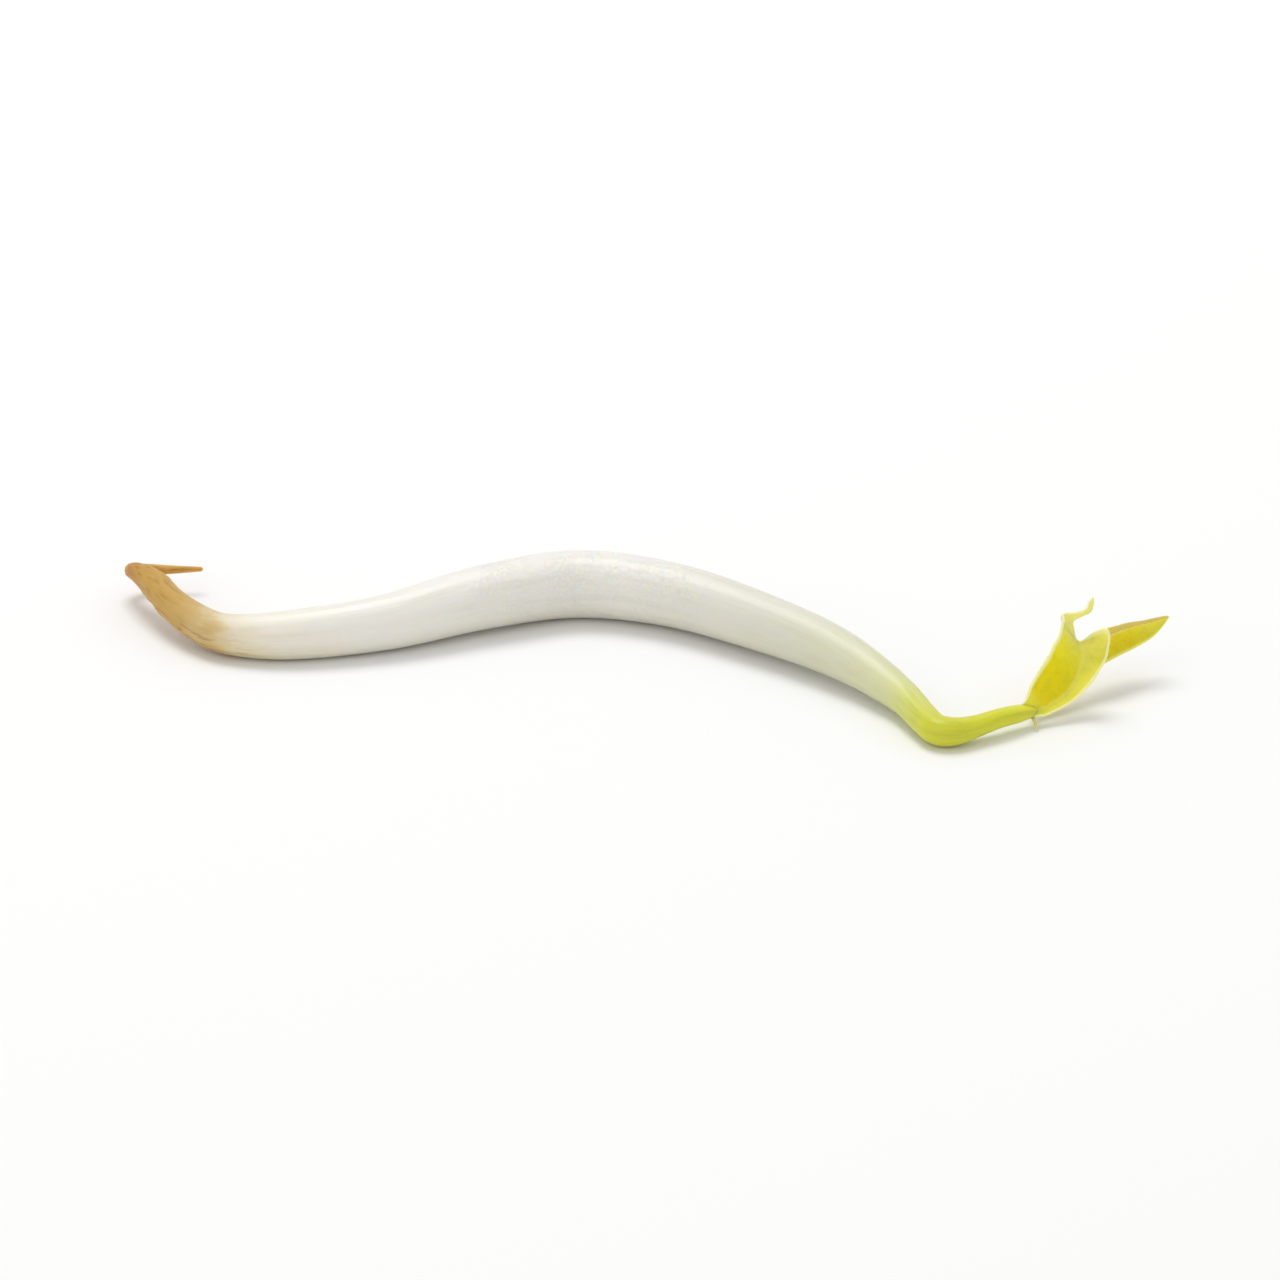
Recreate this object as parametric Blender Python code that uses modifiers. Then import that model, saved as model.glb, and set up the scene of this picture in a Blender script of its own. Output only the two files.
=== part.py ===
"""One mung bean sprout, as picked, lying on its side on a flat surface.

Run it with: blender --background --python part.py

+X runs from the root end towards the leaves, +Y to the outside of the stem's main bend, and +Z up.
The surface it lies on is Z = 0. Every length below is in millimetres, and is scaled to metres once.
"""

import math

import bmesh
import bpy
from mathutils import Vector

MM = 0.001

# Driving sizes.
STEM_THICK = 4.4  # across the white stem where it is thickest
LEAF_THICK = 0.3
LEAF_BOW = 0.12  # how far each half of a leaf bows out between midrib and rim, as a share of its width
ORGAN_GAP = 0.3  # between neighbouring solids

STEPS = 5  # rows for each stretch between two stations

# Stations of the round organs, from the root's tip to the growing tip: x, y, clearance under it, and
# its thickness as a share of STEM_THICK. Each organ starts at the station where the last one ends.
ROOT_STATIONS = (
    (-28.9, 14.6, 1.42, 0.075),
    (-31.0, 14.5, 1.28, 0.14),
    (-32.3, 14.4, 1.22, 0.185),
    (-33.05, 14.2, 1.25, 0.205),
    (-33.22, 13.5, 1.45, 0.235),
    (-32.6, 12.4, 1.50, 0.33),
    (-31.55, 10.7, 1.25, 0.435),
    (-30.15, 8.3, 0.75, 0.485),
)
STEM_STATIONS = (
    (-28.25, 5.95, 0.30, 0.545),
    (-26.3, 4.6, 0.10, 0.60),
    (-22.5, 4.2, 0.00, 0.72),
    (-16.5, 5.6, 0.05, 0.82),
    (-10.5, 8.6, 0.15, 0.95),
    (-4.6, 10.8, 0.00, 1.00),
    (1.4, 9.1, 0.10, 0.95),
    (7.5, 4.6, 0.25, 0.84),
    (12.0, 0.3, 0.35, 0.70),
)
SHOOT_STATIONS = (
    (15.25, -4.05, 0.25, 0.51),
    (16.8, -7.4, 0.05, 0.45),
    (17.42, -8.7, 0.00, 0.45),
    (18.1, -8.98, 0.00, 0.44),
    (18.9, -8.8, 0.08, 0.395),
    (20.0, -8.25, 0.31, 0.325),
    (21.3, -7.45, 0.50, 0.29),
    (22.3, -6.8, 0.50, 0.25),
    (22.8, -6.4, 0.57, 0.18),
    (23.15, -6.1, 0.70, 0.10),
    (23.4, -5.9, 0.85, 0.03),
)

# Stations of a leaf, from its base to its tip: x, y and z of its right rim, of its midrib and of its
# left rim.
FRONT_LEAF = (
    (23.85, -6.4, 1.20, 23.4, -6.30, 1.50, 23.2, -6.1, 1.80),
    (24.6, -5.9, 0.80, 24.25, -5.40, 1.15, 23.4, -5.3, 2.60),
    (25.95, -5.3, 1.35, 25.4, -4.65, 1.30, 24.2, -4.3, 3.65),
    (27.05, -4.7, 2.25, 26.15, -3.75, 1.80, 24.75, -3.7, 4.40),
    (27.85, -4.2, 3.30, 26.55, -3.05, 2.45, 25.1, -3.3, 5.05),
    (28.25, -3.9, 4.30, 26.7, -2.75, 2.95, 25.25, -3.1, 5.55),
    (28.05, -3.8, 5.50, 26.6, -2.50, 3.50, 25.35, -3.0, 5.80),
    (26.5, -2.6, 4.15, 26.1, -2.35, 4.20, 25.35, -2.8, 5.90),
    (26.15, -2.1, 4.85, 25.85, -2.10, 5.00, 25.35, -2.5, 5.95),
    (26.15, -1.75, 5.15, 25.95, -1.85, 5.30, 25.6, -2.0, 5.80),
    (26.6, -1.45, 5.30, 26.5, -1.50, 5.45, 26.4, -1.6, 5.70),
    (27.2, -1.1, 5.45, 27.05, -1.15, 5.60, 26.9, -1.2, 5.75),
    (27.4, -0.9, 5.95, 27.25, -0.95, 6.00, 27.1, -1.0, 6.10),
    (27.45, -0.8, 6.35, 27.35, -0.80, 6.35, 27.25, -0.8, 6.35),
)
BACK_LEAF = (
    (23.75, -5.2, 0.50, 23.5, -5.15, 0.55, 23.4, -4.95, 0.70),
    (25.05, -4.2, 0.85, 24.45, -4.00, 1.20, 24.2, -3.5, 1.40),
    (26.95, -2.4, 1.80, 26.15, -2.10, 2.40, 25.8, -1.4, 2.85),
    (28.8, -1.2, 2.40, 28.1, -0.70, 3.40, 27.95, 0.6, 3.30),
    (30.05, -0.1, 2.55, 29.55, 0.40, 3.60, 29.5, 1.6, 3.38),
    (31.35, 0.9, 2.95, 30.95, 1.20, 3.65, 30.9, 1.9, 3.55),
    (32.5, 1.95, 3.75, 32.45, 2.00, 3.80, 32.4, 2.05, 3.80),
)


def between(before, start, end, after, t):
    """The value at t, from 0 at start to 1 at end, of the smooth curve through four values."""
    bend = before - 2.5 * start + 2 * end - after / 2
    twist = 1.5 * (start - end) + (after - before) / 2
    return start + (end - before) / 2 * t + bend * t**2 + twist * t**3


def smooth_rows(stations):
    """Rows of a smooth line through the stations, with STEPS rows for each stretch."""
    ends = (stations[0], *stations, stations[-1])
    rows = []
    for stretch in zip(ends, ends[1:], ends[2:], ends[3:]):
        for step in range(STEPS):
            rows.append(tuple(between(*values, step / STEPS) for values in zip(*stretch)))
    return [*rows, stations[-1]]


def material(name, colour, roughness):
    made = bpy.data.materials.new(name)
    made.use_nodes = True
    shader = made.node_tree.nodes["Principled BSDF"]
    shader.inputs["Base Color"].default_value = (*colour, 1.0)
    shader.inputs["Roughness"].default_value = roughness
    shader.inputs["Metallic"].default_value = 0.0
    return made


def show(name, data, surface):
    """Adds the finished shape to the sprout's collection, under its frame."""
    made = bpy.data.objects.new(name, data)
    sprout.objects.link(made)
    made.parent = frame
    data.materials.append(surface)
    return made


def pull_in(end, neighbour):
    """The end row moved towards its neighbour by half of the gap between two organs."""
    length = math.dist(end[:2], neighbour[:2])
    return tuple(a + (b - a) * ORGAN_GAP / 2 / length for a, b in zip(end, neighbour))


def organ(name, first, last, sides, surface):
    """A round stretch of the sprout's axis between two stations, as a bevelled curve with closed ends."""
    rows = axis[first * STEPS : last * STEPS + 1]
    if first > 0:
        rows[0] = pull_in(rows[0], rows[1])
    if last * STEPS + 1 < len(axis):
        rows[-1] = pull_in(rows[-1], rows[-2])
    data = bpy.data.curves.new(name, "CURVE")
    data.dimensions = "3D"
    data.bevel_depth = MM
    data.bevel_resolution = sides // 2 - 2
    data.use_fill_caps = True
    line = data.splines.new("POLY")
    line.points.add(len(rows) - 1)
    for point, (x, y, clearance, share) in zip(line.points, rows):
        radius = share * STEM_THICK / 2
        point.co = (x * MM, y * MM, (clearance + radius) * MM, 1.0)
        point.radius = radius
    line.use_smooth = True
    return show(name, data, surface)


def leaf(name, stations, surface, columns=8):
    """A grid hung between a leaf's two rims and its midrib, given the leaf's thickness."""
    rows = smooth_rows(stations)
    made = bmesh.new()
    grid = bmesh.ops.create_grid(made, x_segments=len(rows) - 1, y_segments=columns, size=1.0)
    for vertex in grid["verts"]:
        row = rows[round((vertex.co.x + 1) / 2 * (len(rows) - 1))]
        right, midrib, left = (Vector(row[first : first + 3]) for first in (0, 3, 6))
        half = (right if vertex.co.y > 0 else left) - midrib
        share = abs(vertex.co.y)
        opening = (right + left) / 2 - midrib
        inward = (opening - opening.project(half)).normalized()
        bow = LEAF_BOW * half.length * 4 * share * (1 - share)
        vertex.co = (midrib + half * share - inward * bow) * MM
    data = bpy.data.meshes.new(name)
    made.to_mesh(data)
    made.free()
    data.shade_smooth()
    blade = show(name, data, surface)
    wall = blade.modifiers.new("thickness", "SOLIDIFY")
    wall.thickness = LEAF_THICK * MM
    wall.offset = 0.0
    return blade


for old in list(bpy.data.objects):
    bpy.data.objects.remove(old)

sprout = bpy.data.collections.new("mung_bean_sprout")
bpy.context.scene.collection.children.link(sprout)
frame = bpy.data.objects.new("resting_frame", None)
sprout.objects.link(frame)

white_flesh = material("white_flesh", (0.86, 0.85, 0.80), 0.35)
root_skin = material("root_skin", (0.62, 0.40, 0.17), 0.50)
shoot_skin = material("shoot_skin", (0.60, 0.62, 0.13), 0.38)
leaf_skin = material("leaf_skin", (0.70, 0.62, 0.05), 0.42)

axis = smooth_rows(ROOT_STATIONS + STEM_STATIONS + SHOOT_STATIONS)
collar = len(ROOT_STATIONS)
seed_leaf_node = collar + len(STEM_STATIONS)
growing_tip = seed_leaf_node + len(SHOOT_STATIONS) - 1
pieces = (
    organ("taproot", 0, collar, 10, root_skin),
    organ("hypocotyl", collar, seed_leaf_node, 16, white_flesh),
    organ("epicotyl", seed_leaf_node, growing_tip, 12, shoot_skin),
    leaf("leaf_front", FRONT_LEAF, leaf_skin),
    leaf("leaf_back", BACK_LEAF, leaf_skin),
)

# The frame carries the pieces to where the middle of their box's underside is the origin.
graph = bpy.context.evaluated_depsgraph_get()
points = [point.co.copy() for piece in pieces for point in piece.evaluated_get(graph).to_mesh().vertices]
low, high = (Vector(pick(values) for values in zip(*points)) for pick in (min, max))
frame.location = (-(low.x + high.x) / 2, -(low.y + high.y) / 2, -low.z)
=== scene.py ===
import math

import bmesh
import bpy
from mathutils import Matrix, Vector, noise


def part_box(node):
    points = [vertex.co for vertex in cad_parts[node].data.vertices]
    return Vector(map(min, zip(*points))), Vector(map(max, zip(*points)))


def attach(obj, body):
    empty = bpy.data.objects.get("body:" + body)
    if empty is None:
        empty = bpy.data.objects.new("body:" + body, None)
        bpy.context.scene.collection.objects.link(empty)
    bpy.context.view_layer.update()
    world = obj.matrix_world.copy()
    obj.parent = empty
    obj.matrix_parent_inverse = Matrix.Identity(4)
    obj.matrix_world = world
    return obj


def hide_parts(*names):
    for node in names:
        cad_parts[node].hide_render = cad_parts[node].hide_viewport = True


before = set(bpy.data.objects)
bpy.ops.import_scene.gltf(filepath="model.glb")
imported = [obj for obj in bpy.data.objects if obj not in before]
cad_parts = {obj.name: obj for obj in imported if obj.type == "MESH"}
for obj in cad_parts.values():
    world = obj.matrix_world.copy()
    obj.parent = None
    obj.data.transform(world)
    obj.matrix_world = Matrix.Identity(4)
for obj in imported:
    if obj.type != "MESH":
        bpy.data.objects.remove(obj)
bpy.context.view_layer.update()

# ---------------------------------------------------------------------------------------------
# Taproot. A real sprout's root is one tissue with its stem: a thin, tan, drying taper that ends in
# a sharp kink and a thread. It grew out of the stem's collar, so its skin runs on from the stem's.
# ---------------------------------------------------------------------------------------------

MM = 0.001
UP = Vector((0.0, 0.0, 1.0))
STEM_THICK = 4.4  # across the white stem where it is thickest

# The line that root, stem and shoot share, from the root's tip to the growing tip, in millimetres:
# x, y, clearance under it, and its thickness as a share of STEM_THICK.
ROOT_STATIONS = (
    (-28.9, 14.6, 1.42, 0.075),
    (-31.0, 14.5, 1.28, 0.14),
    (-32.3, 14.4, 1.22, 0.185),
    (-33.05, 14.2, 1.25, 0.205),
    (-33.22, 13.5, 1.45, 0.235),
    (-32.6, 12.4, 1.50, 0.33),
    (-31.55, 10.7, 1.25, 0.435),
    (-30.15, 8.3, 0.75, 0.485),
)
STEM_STATIONS = (
    (-28.25, 5.95, 0.30, 0.545),
    (-26.3, 4.6, 0.10, 0.60),
    (-22.5, 4.2, 0.00, 0.72),
    (-16.5, 5.6, 0.05, 0.82),
    (-10.5, 8.6, 0.15, 0.95),
    (-4.6, 10.8, 0.00, 1.00),
    (1.4, 9.1, 0.10, 0.95),
    (7.5, 4.6, 0.25, 0.84),
    (12.0, 0.3, 0.35, 0.70),
)
SHOOT_STATIONS = (
    (15.25, -4.05, 0.25, 0.51),
    (16.8, -7.4, 0.05, 0.45),
    (17.42, -8.7, 0.00, 0.45),
    (18.1, -8.98, 0.00, 0.44),
    (18.9, -8.8, 0.08, 0.395),
    (20.0, -8.25, 0.31, 0.325),
    (21.3, -7.45, 0.50, 0.29),
    (22.4, -6.7, 0.49, 0.27),
    (23.0, -6.3, 0.52, 0.23),
    (23.45, -6.0, 0.56, 0.17),
    (23.9, -5.65, 0.66, 0.09),
    (24.25, -5.4, 0.75, 0.03),
)
AXIS_STEPS = 40  # points on the line for each stretch between two stations

# The outer sides of the kink and of the stem's bend, in the stations' own axes. The frame says
# where they lie, so the difference carries every station into the frame.
KINK_OUTSIDE_X = -33.724
BEND_OUTSIDE_Y = 12.996
carry = Vector((
    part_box("taproot")[0].x / MM - KINK_OUTSIDE_X,
    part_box("hypocotyl")[1].y / MM - BEND_OUTSIDE_Y,
    0.0,
))

KINK = 5.4  # from the root's tip to the sharp kink, along the line
ROW = 0.2  # between two rings of a skin, along the line
TUCK = 1.2  # how far a skin runs on inside the next one
TUCK_TAPER = 0.05  # how much its radius shrinks there, for each millimetre


def between(before, start, end, after, t):
    """The value at t, from 0 at start to 1 at end, of the smooth curve through four values."""
    bend = before - 2.5 * start + 2 * end - after / 2
    twist = 1.5 * (start - end) + (after - before) / 2
    return start + (end - before) / 2 * t + bend * t**2 + twist * t**3


def smooth_rows(stations, steps):
    """Rows of a smooth line through the stations, with so many steps for each stretch."""
    ends = (stations[0], *stations, stations[-1])
    rows = []
    for stretch in zip(ends, ends[1:], ends[2:], ends[3:]):
        for step in range(steps):
            rows.append(tuple(between(*values, step / steps) for values in zip(*stretch)))
    return [*rows, stations[-1]]


# The axis: points, radii and the length along the line up to each, all in millimetres.
axis = []
along = 0.0
for x, y, clearance, share in smooth_rows(ROOT_STATIONS + STEM_STATIONS + SHOOT_STATIONS, AXIS_STEPS):
    radius = share * STEM_THICK / 2
    point = Vector((x, y, clearance + radius)) + carry
    along += (point - axis[-1][1]).length if axis else 0.0
    axis.append((along, point, radius))

collar = axis[len(ROOT_STATIONS) * AXIS_STEPS][0]
seed_leaf_node = axis[(len(ROOT_STATIONS) + len(STEM_STATIONS)) * AXIS_STEPS][0]
growing_tip = axis[-1][0]


def axis_at(length):
    """Point, direction and radius on the axis, so many millimetres from the root's tip."""
    place = next((i for i, row in enumerate(axis) if row[0] > length), len(axis) - 1)
    place = max(place, 1)
    (start, a, thin), (end, b, thick) = axis[place - 1], axis[place]
    share = (length - start) / (end - start)
    return a.lerp(b, share), (b - a).normalized(), thin + (thick - thin) * min(max(share, 0.0), 1.0)


def smooth_step(value, low, high):
    """0 below low, 1 above high, and a smooth rise between them."""
    t = min(max((value - low) / (high - low), 0.0), 1.0)
    return t * t * (3 - 2 * t)


def uneven(length, angle, reach, turns, seed):
    """Smooth growth noise, about -1 to 1, over reach millimetres of length and so many turns round."""
    spot = Vector((math.cos(angle) * turns, math.sin(angle) * turns + seed, length / reach))
    return noise.noise(spot)


def growth(length, angle):
    """How a grown skin departs from its plain round: broad lumps and faint ridges, always inwards."""
    lumps = uneven(length, angle, 7.0, 0.5, 3.1)
    ridges = uneven(length, angle, 11.0, 2.6, 7.7)
    return 1.0 - 0.012 * (1.0 + lumps) - 0.005 * (1.0 + ridges)


def finish_mesh(name, made, surface, sharp=50):
    """Writes a bmesh made in millimetres to an object at the origin, facing outwards."""
    bmesh.ops.scale(made, vec=(MM, MM, MM), verts=made.verts)
    bmesh.ops.recalc_face_normals(made, faces=made.faces)
    data = bpy.data.meshes.new(name)
    made.to_mesh(data)
    made.free()
    data.shade_smooth()
    data.set_sharp_from_angle(angle=math.radians(sharp))
    data.materials.append(surface)
    piece = bpy.data.objects.new(name, data)
    bpy.context.scene.collection.objects.link(piece)
    return piece


def skin(name, start, end, around, relief, surface, grow=None):
    """A closed tube round the axis from start to end, as a grid rolled round it. An end that isn't
    the axis's own goes on for TUCK inside the next skin where its length is given as a pair.
    Its grain attribute is the same place on a straightened organ: two across and one along. What
    else grows on the organ is added by grow, before the mesh is written."""
    rows = []
    first, tucked_first = start
    last, tucked_last = end
    for corner in (1.0, 0.9, 0.7, 0.4):
        rows.append((first, -corner, math.sqrt(1 - corner**2)))
    count = round((last - first) / ROW)
    rows += [(first + (last - first) * i / count, 0.0, 1.0) for i in range(count + 1)]
    for corner in (0.4, 0.7, 0.9, 1.0):
        rows.append((last, corner, math.sqrt(1 - corner**2)))
    made = bmesh.new()
    made.loops.layers.uv.new("UVMap")
    grain = made.verts.layers.float_vector.new("grain")
    bmesh.ops.create_grid(made, x_segments=len(rows) - 1, y_segments=around, size=1.0, calc_uvs=True)
    for vertex in made.verts:
        length, dome, share = rows[round((vertex.co.x + 1) / 2 * (len(rows) - 1))]
        angle = vertex.co.y * math.pi
        point, ahead, radius = axis_at(length)
        across = ahead.cross(UP).normalized()
        lifted = across.cross(ahead)
        hidden = max(tucked_first - length, length - tucked_last, 0.0)
        radius = radius * relief(length, angle) - TUCK_TAPER * hidden
        out = lifted * math.cos(angle) + across * math.sin(angle)
        vertex.co = point + out * (radius * share) + ahead * (radius * dome)
        vertex[grain] = (math.cos(angle) * radius, math.sin(angle) * radius, length)
    bmesh.ops.remove_doubles(made, verts=made.verts, dist=0.0001)
    if grow:
        grow(made, grain)
    return finish_mesh(name, made, surface)


def root_relief(length, angle):
    """Lengthwise wrinkles and small nodules of a drying root, which fade out at the collar."""
    dry = 1.0 - smooth_step(length, collar - 5.0, collar)
    wrinkles = uneven(length, angle, 2.4, 3.2, 1.3) + 0.5 * uneven(length, angle, 1.0, 5.0, 4.2)
    knots = max(0.0, uneven(length, angle, 0.7, 1.4, 9.4) - 0.25)
    return growth(length, angle) - dry * (0.04 * (1.0 + wrinkles) - 0.14 * knots)


def add_node(tree, kind, settings=None, **sockets):
    """Adds a shader node. Settings are its own properties; a socket takes a value or a link."""
    made = tree.nodes.new("ShaderNode" + kind)
    for name, value in (settings or {}).items():
        setattr(made, name, value)
    for name, value in sockets.items():
        join(tree, value, made.inputs[name.replace("_", " ")])
    return made


def join(tree, value, socket):
    if isinstance(value, bpy.types.NodeSocket):
        tree.links.new(value, socket)
    else:
        socket.default_value = value


def maths(tree, operation, *values):
    made = add_node(tree, "Math", {"operation": operation})
    for value, socket in zip(values, made.inputs):
        join(tree, value, socket)
    return made.outputs[0]


def rise(tree, value, low, high):
    """0 below low, 1 above high, and a smooth rise between them."""
    made = add_node(tree, "MapRange", {"interpolation_type": "SMOOTHSTEP"}, Value=value)
    made.inputs["From Min"].default_value = low
    made.inputs["From Max"].default_value = high
    return made.outputs[0]


def mix(tree, share, first, second, blend="MIX"):
    """Two colours blended by a share from 0 to 1."""
    made = add_node(tree, "Mix", {"data_type": "RGBA", "blend_type": blend})
    join(tree, share, made.inputs[0])
    for socket, colour in ((made.inputs[6], first), (made.inputs[7], second)):
        join(tree, colour if isinstance(colour, bpy.types.NodeSocket) else (*colour, 1.0), socket)
    return made.outputs[2]


def colour_stops(tree, value, low, high, stops):
    """A colour that follows a value through stops, each the value there and the colour."""
    share = add_node(tree, "MapRange", Value=value)
    share.inputs["From Min"].default_value = low
    share.inputs["From Max"].default_value = high
    ramp = add_node(tree, "ValToRGB", Fac=share.outputs[0])
    points = ramp.color_ramp.elements
    while len(points) < len(stops):
        points.new(0.5)
    for point, (at, colour) in zip(points, stops):
        point.position = (at - low) / (high - low)
        point.color = (*colour, 1.0)
    return ramp.outputs[0]


def speckle(tree, place, scale, stretch=(1.0, 1.0, 1.0), detail=3.0, roughness=0.55):
    """Noise over a place, with its scale in cells a millimetre and a stretch for each direction."""
    spread = add_node(tree, "Mapping", Vector=place, Scale=stretch)
    made = add_node(tree, "TexNoise", Vector=spread.outputs[0], Scale=scale, Detail=detail)
    made.inputs["Roughness"].default_value = roughness
    return made.outputs[0]


def bump(tree, height, distance, strength=1.0, under=None):
    made = add_node(tree, "Bump", Height=height, Distance=distance * MM, Strength=strength)
    if under is not None:
        join(tree, under, made.inputs["Normal"])
    return made.outputs[0]


def new_surface(name, **values):
    """A material with its Principled shader's even values set on the shader's own sockets."""
    made = bpy.data.materials.new(name)
    made.use_nodes = True
    shader = made.node_tree.nodes["Principled BSDF"]
    for socket, value in values.items():
        shader.inputs[socket.replace("_", " ")].default_value = value
    return made, made.node_tree, shader


def straightened(tree):
    """The grain attribute, and its part along the organ."""
    grain = add_node(tree, "Attribute", {"attribute_name": "grain"}).outputs["Vector"]
    return grain, add_node(tree, "SeparateXYZ", Vector=grain).outputs[2]


def tan_to_white(tree, grain, length):
    """The colour of root and stem on both sides of the collar: tan runs on further underneath."""
    above = add_node(tree, "SeparateXYZ", Vector=grain).outputs[0]
    blotches = speckle(tree, grain, 0.8, (1.0, 1.0, 0.5))
    place = maths(tree, "MULTIPLY_ADD", above, 0.9, length)
    place = maths(tree, "MULTIPLY_ADD", maths(tree, "SUBTRACT", blotches, 0.5), 5.0, place)
    tint = colour_stops(tree, place, 0.0, collar + 11.0, (
        (0.0, (0.58, 0.37, 0.09)),
        (KINK - 0.8, (0.56, 0.33, 0.07)),
        (KINK + 0.4, (0.46, 0.19, 0.02)),
        (KINK + 1.8, (0.50, 0.28, 0.05)),
        (KINK + 4.0, (0.54, 0.33, 0.08)),
        (KINK + 7.3, (0.555, 0.355, 0.10)),
        (collar + 1.2, (0.60, 0.42, 0.165)),
        (collar + 2.2, (0.665, 0.55, 0.31)),
        (collar + 3.4, (0.735, 0.675, 0.53)),
        (collar + 5.5, (0.775, 0.75, 0.68)),
        (collar + 11.0, (0.79, 0.78, 0.745)),
    ))
    fibres = speckle(tree, grain, 5.5, (1.0, 1.0, 0.09), detail=3.0)
    below = rise(tree, above, 0.9, -0.3)
    drying = maths(tree, "MULTIPLY", rise(tree, length, collar + 5.0, collar + 1.0), below)
    old = rise(tree, length, collar, collar - 5.0)
    drying = maths(tree, "MAXIMUM", drying, maths(tree, "MULTIPLY", old, 0.7))
    brown = maths(tree, "MULTIPLY", rise(tree, fibres, 0.52, 0.66), drying)
    return mix(tree, brown, tint, (0.66, 0.54, 0.38), "MULTIPLY"), fibres


ROOT_SIDES = 48

root_skin, tree, shader = new_surface(
    "root_skin",
    Roughness=0.46,
    Specular_IOR_Level=0.25,
    Subsurface_Radius=(1.0, 0.6, 0.25),
    Subsurface_Scale=0.0006,
)
grain, length = straightened(tree)
tan, fibres = tan_to_white(tree, grain, length)
join(tree, tan, shader.inputs["Base Color"])
join(tree, rise(tree, length, collar - 0.5, collar - 4.0), shader.inputs["Subsurface Weight"])
join(tree, bump(tree, fibres, 0.05), shader.inputs["Normal"])

taproot = skin("taproot_skin", (0.0, 0.0), (collar + TUCK, collar), ROOT_SIDES, root_relief, root_skin)
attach(taproot, "root")
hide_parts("taproot")

# ---------------------------------------------------------------------------------------------
# Stem. The hypocotyl is the fat white part that is eaten: watery flesh under a thin glossy skin,
# with a few faint lengthwise ridges. It narrows to the collar and, past its bend, to the node.
# ---------------------------------------------------------------------------------------------

STEM_SIDES = 96

white_flesh, tree, shader = new_surface(
    "white_flesh",
    Roughness=0.42,
    Specular_IOR_Level=0.40,
    Subsurface_Radius=(1.0, 0.82, 0.52),
    Subsurface_Scale=0.002,
    Coat_Weight=0.16,
)
shader.inputs["Coat Roughness"].default_value = 0.24
grain, length = straightened(tree)
near_root, fibres = tan_to_white(tree, grain, length)
# Toward the node the flesh turns yellow-green, which is its own colour. It is also painted darker there: a
# painted shadow, as if other sprouts lay over this part of the stem.
greening_and_painted_shadow = colour_stops(tree, length, seed_leaf_node - 22.0, seed_leaf_node, (
    (seed_leaf_node - 22.0, (0.79, 0.78, 0.745)),
    (seed_leaf_node - 16.0, (0.73, 0.72, 0.66)),
    (seed_leaf_node - 10.0, (0.68, 0.68, 0.59)),
    (seed_leaf_node - 4.0, (0.655, 0.66, 0.50)),
    (seed_leaf_node - 1.5, (0.655, 0.665, 0.42)),
    (seed_leaf_node, (0.66, 0.67, 0.34)),
))
flesh = mix(tree, rise(tree, length, collar + 11.0, seed_leaf_node - 22.0), near_root, greening_and_painted_shadow)
streaks = speckle(tree, grain, 2.2, (1.0, 1.0, 0.05), detail=4.0)
pebbles = add_node(tree, "TexVoronoi", {"feature": "SMOOTH_F1"}, Vector=grain, Scale=3.6).outputs["Distance"]
thickest = max(axis, key=lambda row: row[2])[0]
swollen = maths(
    tree, "MULTIPLY", rise(tree, length, thickest - 13.0, thickest - 6.0),
    rise(tree, length, thickest + 16.0, thickest + 7.0),
)
patchy = rise(tree, maths(tree, "MULTIPLY", speckle(tree, grain, 0.45), swollen), 0.34, 0.56)
near_collar = rise(tree, length, collar + 0.5, collar + 4.0)
near_node = rise(tree, length, seed_leaf_node - 0.3, seed_leaf_node - 3.0)
plump = maths(tree, "MULTIPLY", near_collar, near_node)
above = add_node(tree, "SeparateXYZ", Vector=grain).outputs[0]
# Painted shade: the underside of the plump stem is painted creamier and a little darker, as bounce and shade
# from below would make it.
painted_underside_shade = maths(tree, "MULTIPLY", rise(tree, above, 0.6, -1.8), plump)
streaked = maths(tree, "MULTIPLY", rise(tree, streaks, 0.46, 0.70), plump)
flesh = mix(tree, painted_underside_shade, flesh, (0.98, 0.95, 0.86), "MULTIPLY")
flesh = mix(tree, streaked, flesh, (0.95, 0.95, 0.92), "MULTIPLY")
join(tree, flesh, shader.inputs["Base Color"])
join(tree, plump, shader.inputs["Subsurface Weight"])
pebbled = maths(tree, "MULTIPLY", pebbles, maths(tree, "MULTIPLY", patchy, plump))
ridged = maths(tree, "MULTIPLY", streaks, plump)
join(tree, bump(tree, ridged, 0.05, under=bump(tree, pebbled, 0.11)), shader.inputs["Normal"])


def stem_relief(length, angle):
    """Two low scars where the seed leaves sat, one on each side just below the node."""
    scar = math.exp(-((length - seed_leaf_node + 1.1) / 0.6) ** 2) * math.sin(angle) ** 4
    return growth(length, angle) + 0.05 * scar


hypocotyl = skin(
    "hypocotyl_skin", (collar, collar), (seed_leaf_node, seed_leaf_node),
    STEM_SIDES, stem_relief, white_flesh,
)
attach(hypocotyl, "root")
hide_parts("hypocotyl")

# ---------------------------------------------------------------------------------------------
# Shoot. The epicotyl grew from the node after the seed leaves fell off: a thin, juicy, yellow-green
# stalk with a hook in it, and the leaves' bases at its growing tip.
# ---------------------------------------------------------------------------------------------

SHOOT_SIDES = 64

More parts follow.
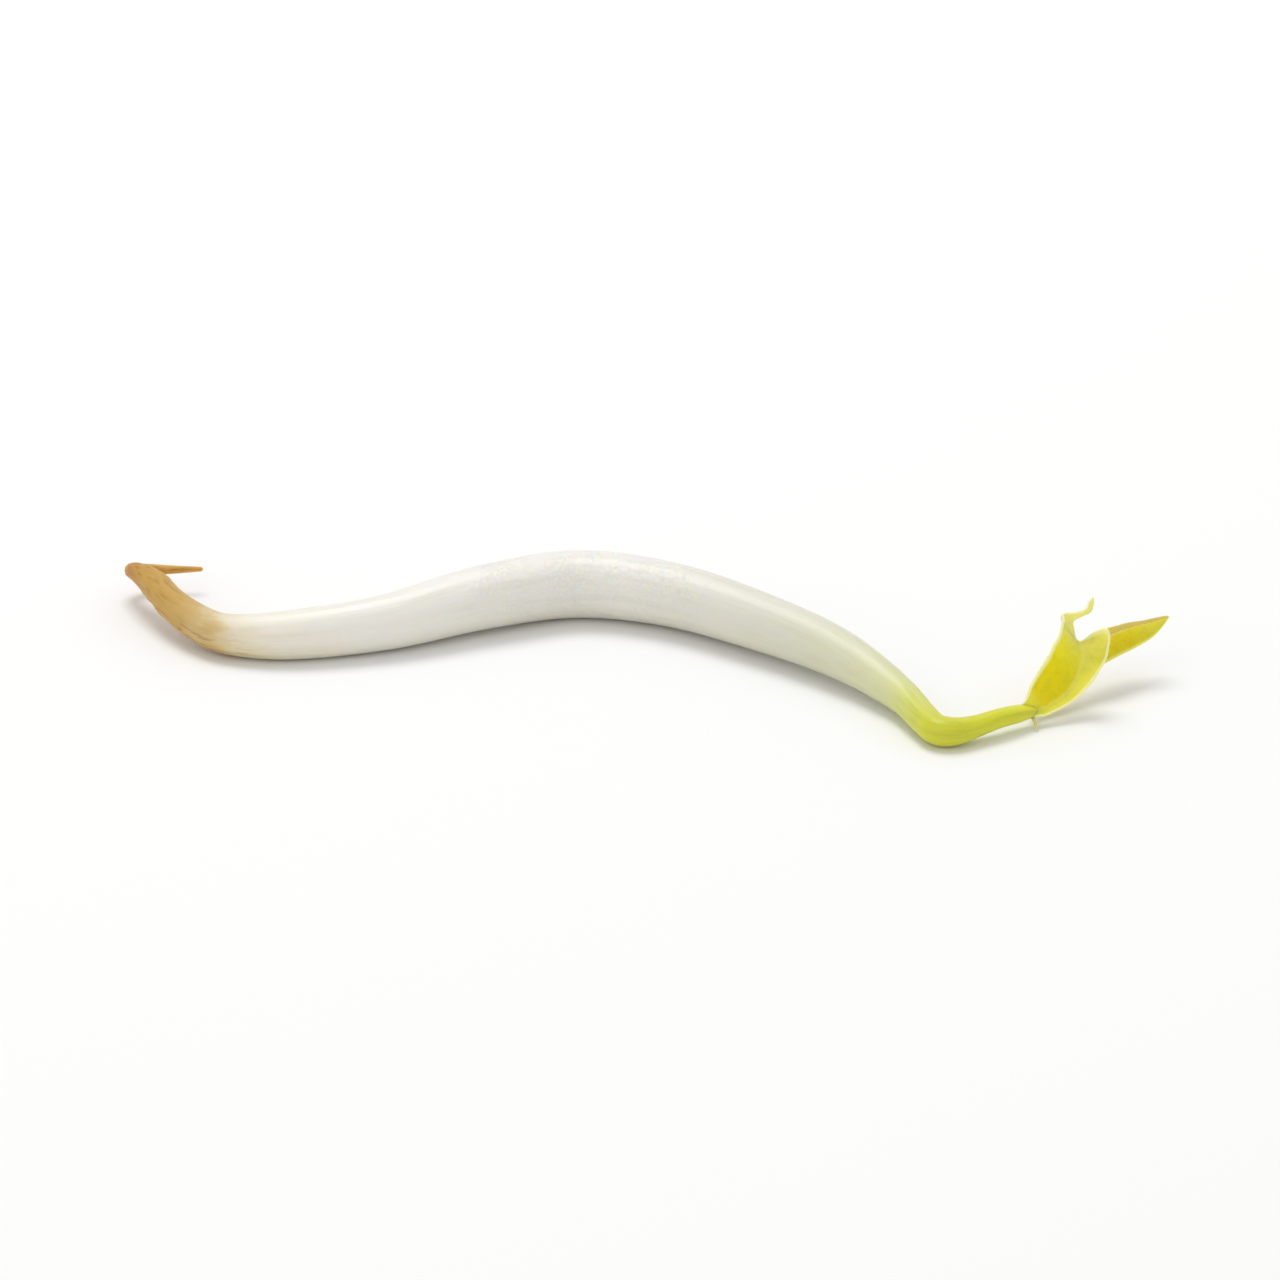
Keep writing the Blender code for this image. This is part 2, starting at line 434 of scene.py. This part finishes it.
shoot_skin, tree, shader = new_surface(
    "shoot_skin",
    Roughness=0.42,
    Specular_IOR_Level=0.40,
    Subsurface_Radius=(0.9, 1.0, 0.25),
    Subsurface_Scale=0.0008,
    Coat_Weight=0.16,
)
shader.inputs["Coat Roughness"].default_value = 0.24
grain, length = straightened(tree)
green = colour_stops(tree, length, seed_leaf_node, growing_tip + 1.0, (
    (seed_leaf_node, (0.66, 0.67, 0.34)),
    (seed_leaf_node + 2.5, (0.655, 0.66, 0.19)),
    (seed_leaf_node + 5.0, (0.645, 0.63, 0.045)),
    (growing_tip - 3.5, (0.65, 0.64, 0.025)),
    (growing_tip - 1.2, (0.69, 0.66, 0.04)),
    (growing_tip, (0.72, 0.67, 0.05)),
    (growing_tip + 1.0, (0.50, 0.40, 0.24)),
))
veins = speckle(tree, grain, 3.0, (1.0, 1.0, 0.06), detail=4.0)
mottle = speckle(tree, grain, 1.4, (1.0, 1.0, 0.4))
past_node = rise(tree, length, seed_leaf_node + 0.3, seed_leaf_node + 2.5)
veined = maths(tree, "MULTIPLY", rise(tree, veins, 0.45, 0.66), past_node)
mottled = maths(tree, "MULTIPLY", rise(tree, mottle, 0.40, 0.70), past_node)
green = mix(tree, veined, green, (0.88, 0.92, 0.66), "MULTIPLY")
green = mix(tree, mottled, green, (0.93, 0.96, 0.80), "MULTIPLY")
join(tree, green, shader.inputs["Base Color"])
join(tree, past_node, shader.inputs["Subsurface Weight"])
join(tree, bump(tree, maths(tree, "MULTIPLY", veins, past_node), 0.04), shader.inputs["Normal"])


def shoot_relief(length, angle):
    """Shallow grooves along the shoot, none at the node."""
    grooves = smooth_step(length, seed_leaf_node, seed_leaf_node + 2.0) * 0.03 * (1 + math.cos(5 * angle))
    return growth(length, angle) - grooves


STIPULE_ROOT = Vector((23.45, -6.3, 0.75))
STIPULE_TIP = Vector((23.75, -6.9, 0.14))
STIPULE_THICK = 0.30


def stipule(made, grain):
    """The withered stub of a stipule, which hangs from the foot of the front leaf."""
    along = STIPULE_TIP - STIPULE_ROOT
    turn = along.to_track_quat("Z", "Y").to_matrix().to_4x4()
    place = Matrix.Translation((STIPULE_ROOT + STIPULE_TIP) / 2 + carry) @ turn
    stub = bmesh.ops.create_cone(
        made, cap_ends=True, segments=16, radius1=STIPULE_THICK / 2, radius2=STIPULE_THICK / 5,
        depth=along.length, matrix=place @ Matrix.Diagonal((1.0, 0.55, 1.0, 1.0)),
    )
    for vertex in stub["verts"]:
        vertex[grain] = (0.0, 0.0, growing_tip + 1.0)


epicotyl = skin(
    "epicotyl_skin", (seed_leaf_node - TUCK, seed_leaf_node), (growing_tip, growing_tip),
    SHOOT_SIDES, shoot_relief, shoot_skin, grow=stipule,
)
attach(epicotyl, "root")
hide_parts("epicotyl")

# ---------------------------------------------------------------------------------------------
# Front leaf. The nearer of the first two true leaves, still folded like a boat: thin golden tissue
# with a midrib and side veins, pale rolled margins and a thin drawn-out tip.
# ---------------------------------------------------------------------------------------------

LEAF_THICK = 0.16
LEAF_BOW = 0.12  # how far each half of a leaf bows out between midrib and rim, as a share of its width
FOLD = 0.15  # how round the fold at the midrib is, and more so where it is nearly closed
MOST_CLOSED = 0.95  # a fold is rounded as if it were no more closed than this
FULL_RELIEF = 1.2  # a half as wide as this has the full veins, curl and waves
MARGIN_CURL = 0.12
MARGIN_WAVES = 0.12
LEAF_STEPS = 10
LEAF_COLUMNS = 40
VEINS = 22
VEIN_DEPTH = 0.035
VEIN_WIDTH = 0.17  # as a share of the way from one vein to the next
VEIN_SLANT = 3.2  # how many veins further on a vein is at the margin than at the midrib

# Stations of a leaf, from its base to its tip: x, y and z of its right rim, of its midrib and of its
# left rim. The first two sheathe the tip of the shoot.
FRONT_LEAF = (
    (22.75, -6.6, 0.90, 22.65, -6.50, 1.10, 22.55, -6.3, 1.30),
    (23.6, -6.4, 0.78, 23.35, -6.25, 1.10, 23.0, -6.0, 1.80),
    (24.5, -6.0, 0.80, 24.2, -5.60, 1.00, 23.35, -5.4, 2.60),
    (25.95, -5.3, 1.35, 25.4, -4.65, 1.30, 24.2, -4.3, 3.65),
    (27.05, -4.7, 2.25, 26.15, -3.75, 1.80, 24.75, -3.7, 4.40),
    (27.85, -4.2, 3.30, 26.55, -3.05, 2.45, 25.1, -3.3, 5.05),
    (28.25, -3.9, 4.30, 26.7, -2.75, 2.95, 25.25, -3.1, 5.55),
    (28.05, -3.8, 5.50, 26.6, -2.50, 3.50, 25.35, -3.0, 5.80),
    (26.5, -2.6, 4.15, 26.1, -2.35, 4.06, 25.35, -2.8, 5.90),
    (26.15, -2.1, 4.85, 25.85, -2.16, 4.90, 25.35, -2.5, 5.95),
    (26.15, -1.75, 5.15, 25.95, -1.85, 5.30, 25.6, -2.0, 5.80),
    (26.6, -1.45, 5.30, 26.5, -1.50, 5.45, 26.4, -1.6, 5.70),
    (27.2, -1.1, 5.45, 27.05, -1.15, 5.60, 26.9, -1.2, 5.75),
    (27.4, -0.9, 5.95, 27.25, -0.95, 6.00, 27.1, -1.0, 6.10),
    (27.4, -0.8, 6.32, 27.35, -0.80, 6.32, 27.3, -0.8, 6.32),
)


def blade(name, stations, surface):
    """A leaf: a grid hung between its two rims and its midrib, with both halves bowed out, a round
    fold at the midrib, veins pressed in and uneven margins that curl in. Its blade attribute is the
    share of its length, the side from -1 to 1, and how far from the midrib in millimetres."""
    rows = smooth_rows(stations, LEAF_STEPS)
    last = len(rows) - 1
    made = bmesh.new()
    spread = made.verts.layers.float_vector.new("blade")
    bmesh.ops.create_grid(made, x_segments=last, y_segments=LEAF_COLUMNS, size=1.0)
    for vertex in made.verts:
        row = round((vertex.co.x + 1) / 2 * last)
        side = vertex.co.y
        share = abs(side)
        right, midrib, left = (Vector(rows[row][first : first + 3]) for first in (0, 3, 6))
        half = (right if side > 0 else left) - midrib
        opening = (right + left) / 2 - midrib
        inward = opening - opening.project(half)
        inward /= inward.length + 0.05
        from_fold = half.length * share
        lift = (right - midrib).normalized() + (left - midrib).normalized()
        closed = min(lift.length / 2, MOST_CLOSED)
        fold = max(FOLD, FOLD * closed / (1.0 - closed**2))
        lift *= (math.hypot(from_fold, fold) - from_fold) / 2 * (1.0 - share**2)
        wide = min(half.length / FULL_RELIEF, 1.0) ** 2
        bow = LEAF_BOW * half.length * 4 * share * (1 - share)
        vein = (row / last * VEINS - share * VEIN_SLANT) % 1.0 - 0.5
        groove = math.exp(-((vein / VEIN_WIDTH) ** 2)) * smooth_step(share, 0.05, 0.15)
        wave = share * noise.noise(Vector((row * 0.11, side * 1.6, len(rows))))
        bow -= VEIN_DEPTH * wide * groove
        bow -= MARGIN_CURL * wide * smooth_step(share, 0.86, 1.0)
        bow += MARGIN_WAVES * wide * wave
        vertex.co = midrib + carry + half * share + lift - inward * bow
        vertex[spread] = (row / last, side, from_fold)
    piece = finish_mesh(name, made, surface)
    wall = piece.modifiers.new("thickness", "SOLIDIFY")
    wall.thickness = LEAF_THICK * MM
    wall.offset = 0.0
    round_off = piece.modifiers.new("rounding", "SUBSURF")
    round_off.levels = 1
    round_off.render_levels = 1
    return piece


def leaf_surface(name, left_stops, right_stops, left_margin, right_margin, notch=None):
    """Leaf tissue, coloured along each half, with pale veins, a pale midrib and paler margins. It
    lets no light through where a notch squeezes it, given as a share of the leaf's length."""
    surface, tree, shader = new_surface(
        name,
        Roughness=0.46,
        Specular_IOR_Level=0.25,
        Subsurface_Weight=1.0,
        Subsurface_Radius=(1.0, 0.9, 0.2),
        Subsurface_Scale=0.0005,
    )
    spread = add_node(tree, "Attribute", {"attribute_name": "blade"}).outputs["Vector"]
    parts = add_node(tree, "SeparateXYZ", Vector=spread)
    along, side = parts.outputs[0], parts.outputs[1]
    share = maths(tree, "ABSOLUTE", side)
    if notch:
        from_notch = maths(tree, "ABSOLUTE", maths(tree, "SUBTRACT", along, notch))
        join(tree, rise(tree, from_notch, 0.02, 0.08), shader.inputs["Subsurface Weight"])
    place = add_node(tree, "TexCoord").outputs["Object"]
    cells = speckle(tree, place, 1 / MM * 1.6, detail=4.0, roughness=0.6)
    grains = add_node(tree, "TexVoronoi", Vector=place, Scale=1 / MM * 5.0).outputs["Distance"]

    left = colour_stops(tree, along, 0.0, 1.0, left_stops)
    right = colour_stops(tree, along, 0.0, 1.0, right_stops)
    # Each half has its own colours. On the front leaf they hold painted shade on the left half and painted
    # light on the right half.
    tissue = mix(tree, rise(tree, side, -0.12, 0.16), left, right)
    tissue = mix(tree, rise(tree, cells, 0.42, 0.70), tissue, (0.90, 0.92, 0.75), "MULTIPLY")
    phase = maths(tree, "MULTIPLY_ADD", share, -VEIN_SLANT, maths(tree, "MULTIPLY", along, VEINS))
    phase = maths(tree, "MULTIPLY_ADD", cells, 1.4, phase)
    from_vein = maths(tree, "ABSOLUTE", maths(tree, "SUBTRACT", maths(tree, "FRACT", phase), 0.5))
    vein = maths(tree, "MULTIPLY", rise(tree, from_vein, 0.16, 0.02), rise(tree, share, 0.98, 0.5))
    tissue = mix(tree, maths(tree, "MULTIPLY", vein, 0.10), tissue, (0.82, 0.80, 0.20))
    midrib = maths(tree, "MULTIPLY", rise(tree, share, 0.08, 0.01), 0.3)
    tissue = mix(tree, midrib, tissue, (0.80, 0.79, 0.28))
    edge = mix(tree, rise(tree, side, -0.1, 0.1), left_margin, right_margin)
    tissue = mix(tree, maths(tree, "MULTIPLY", rise(tree, share, 0.82, 0.94), 0.85), tissue, edge)
    join(tree, tissue, shader.inputs["Base Color"])
    join(tree, bump(tree, cells, 0.03, under=bump(tree, grains, 0.02)), shader.inputs["Normal"])
    return surface


# Painted light and shade: the left half is painted a deeper gold, as the shade inside the fold makes it, and
# the right half a paler yellow, as the light falling on it makes it.
front_tissue = leaf_surface(
    "leaf_skin",
    (
        (0.0, (0.74, 0.72, 0.10)),
        (0.09, (0.74, 0.70, 0.06)),
        (0.15, (0.74, 0.62, 0.0)),
        (0.23, (0.76, 0.65, 0.0)),
        (0.32, (0.78, 0.715, 0.03)),
        (0.42, (0.78, 0.73, 0.10)),
        (0.55, (0.78, 0.74, 0.20)),
        (1.0, (0.80, 0.78, 0.38)),
    ),
    (
        (0.0, (0.74, 0.72, 0.10)),
        (0.15, (0.72, 0.69, 0.06)),
        (0.30, (0.74, 0.70, 0.12)),
        (0.50, (0.76, 0.73, 0.18)),
        (1.0, (0.80, 0.78, 0.38)),
    ),
    left_margin=(0.87, 0.84, 0.55),
    right_margin=(0.86, 0.83, 0.46),
    notch=0.575,
)

leaf_front = blade("leaf_front_blade", FRONT_LEAF, front_tissue)
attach(leaf_front, "root")
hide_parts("leaf_front")

# ---------------------------------------------------------------------------------------------
# Back leaf. The other true leaf, longer and flatter, which points away behind the front one. It is
# the same tissue, a deeper, browner gold on its left half than on its right from the middle on.
# ---------------------------------------------------------------------------------------------

BACK_LEAF = (
    (23.5, -5.6, 0.75, 23.35, -5.5, 0.95, 23.2, -5.4, 1.20),
    (23.95, -5.0, 0.75, 23.7, -5.0, 0.90, 23.5, -4.8, 1.10),
    (25.05, -4.2, 0.85, 24.45, -4.00, 1.20, 24.2, -3.5, 1.40),
    (26.95, -2.4, 1.80, 26.15, -2.10, 2.40, 25.8, -1.4, 2.85),
    (28.8, -1.2, 2.40, 28.1, -0.70, 3.40, 27.95, 0.6, 3.30),
    (30.05, -0.1, 2.55, 29.55, 0.40, 3.60, 29.5, 1.6, 3.38),
    (31.35, 0.9, 2.95, 30.95, 1.20, 3.65, 30.9, 1.9, 3.55),
    (32.4, 1.95, 3.76, 32.38, 2.00, 3.80, 32.36, 2.05, 3.80),
)

back_tissue = leaf_surface(
    "leaf_skin_back",
    (
        (0.0, (0.70, 0.66, 0.05)),
        (0.4, (0.50, 0.37, 0.05)),
        (0.8, (0.52, 0.41, 0.07)),
        (1.0, (0.50, 0.41, 0.10)),
    ),
    (
        (0.0, (0.70, 0.66, 0.05)),
        (0.4, (0.61, 0.50, 0.0)),
        (0.72, (0.62, 0.53, 0.0)),
        (0.9, (0.62, 0.58, 0.05)),
        (1.0, (0.58, 0.53, 0.10)),
    ),
    left_margin=(0.46, 0.31, 0.08),
    right_margin=(0.74, 0.72, 0.22),
)

leaf_back = blade("leaf_back_blade", BACK_LEAF, back_tissue)
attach(leaf_back, "root")
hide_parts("leaf_back")

# ---------------------------------------------------------------------------------------------
# Stage. A plain pale floor, a large soft light above and a little behind, a weaker one from the
# front, and a camera that looks down on the sprout from in front of its curve.
# ---------------------------------------------------------------------------------------------

FLOOR_HALF = 2.0
LOOK_AT = Vector((0.0, 0.0, 0.002))
CAMERA_ELEVATION = math.radians(24.0)
CAMERA_DISTANCE = 0.36
FRAME_WIDE = 0.080  # what the frame takes in at that distance
SENSOR = 36.0

made = bmesh.new()
bmesh.ops.create_grid(made, x_segments=1, y_segments=1, size=FLOOR_HALF)
floor_data = bpy.data.meshes.new("floor")
made.to_mesh(floor_data)
made.free()
floor = bpy.data.objects.new("floor", floor_data)
bpy.context.scene.collection.objects.link(floor)
paper, tree, shader = new_surface("pale_floor", Roughness=0.6, Specular_IOR_Level=0.2)
shader.inputs["Base Color"].default_value = (0.90, 0.90, 0.895, 1.0)
floor_data.materials.append(paper)


def soft_light(name, place, size, power, colour):
    data = bpy.data.lights.new(name, "AREA")
    data.shape = "DISK"
    data.size = size
    data.energy = power
    data.color = colour
    lamp = bpy.data.objects.new(name, data)
    lamp.location = place
    lamp.rotation_euler = (LOOK_AT - Vector(place)).to_track_quat("-Z", "Y").to_euler()
    bpy.context.scene.collection.objects.link(lamp)


soft_light("top_softbox", (-0.08, 0.22, 0.60), 0.36, 1.7, (1.0, 1.0, 1.0))
soft_light("front_softbox", (-0.45, -0.60, 0.45), 0.6, 0.6, (1.0, 0.99, 0.97))

world = bpy.data.worlds.new("studio")
world.use_nodes = True
world.node_tree.nodes["Background"].inputs["Color"].default_value = (1.0, 1.0, 1.0, 1.0)
world.node_tree.nodes["Background"].inputs["Strength"].default_value = 0.72
bpy.context.scene.world = world
bpy.context.scene.view_settings.view_transform = "Standard"

camera_data = bpy.data.cameras.new("camera")
camera_data.sensor_width = SENSOR
camera_data.lens = SENSOR * CAMERA_DISTANCE / FRAME_WIDE
camera = bpy.data.objects.new("camera", camera_data)
back = Vector((0.0, -math.cos(CAMERA_ELEVATION), math.sin(CAMERA_ELEVATION)))
camera.location = LOOK_AT + back * CAMERA_DISTANCE
camera.rotation_euler = (-back).to_track_quat("-Z", "Y").to_euler()
bpy.context.scene.collection.objects.link(camera)
bpy.context.scene.camera = camera
